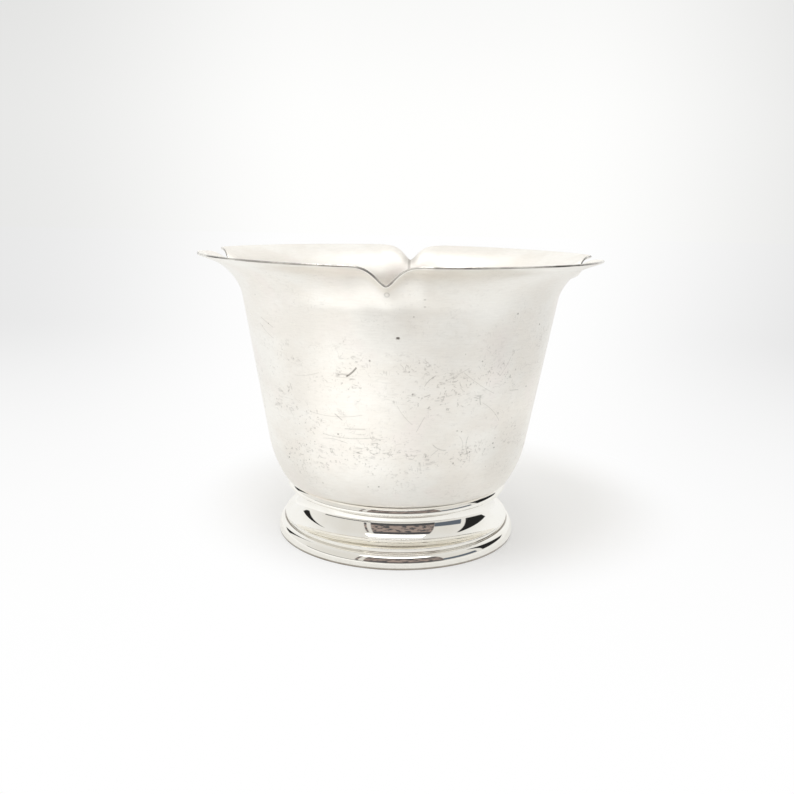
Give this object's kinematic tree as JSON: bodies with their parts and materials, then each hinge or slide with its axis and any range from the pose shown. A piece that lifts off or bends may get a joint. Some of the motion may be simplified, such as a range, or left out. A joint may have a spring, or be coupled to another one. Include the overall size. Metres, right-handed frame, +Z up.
{
  "type": "footed bar bowl",
  "caption": "Small silver-plated bar bowl on a moulded foot, with a tapering wall, a flared lip and V notches that divide the lip into lobes.",
  "frame": {"origin": "on the axis, at the level of the surface that the foot stands on", "axes": "+Z up along the axis; the notches in the lip point along +X, +Y, -X and -Y"},
  "size_m": [0.1258, 0.1258, 0.092],
  "materials": {
    "bowl_satin": "silver plate, worn satin with fine scratches",
    "foot_polish": "silver plate, mirror polished",
    "solder": "dull soft solder"
  },
  "bodies": {
    "root": {"bowl": "bowl_satin", "neck_collar": "foot_polish", "foot": "foot_polish", "foot_rim_wire": "foot_polish", "solder_seam": "solder"}
  },
  "joints": []
}
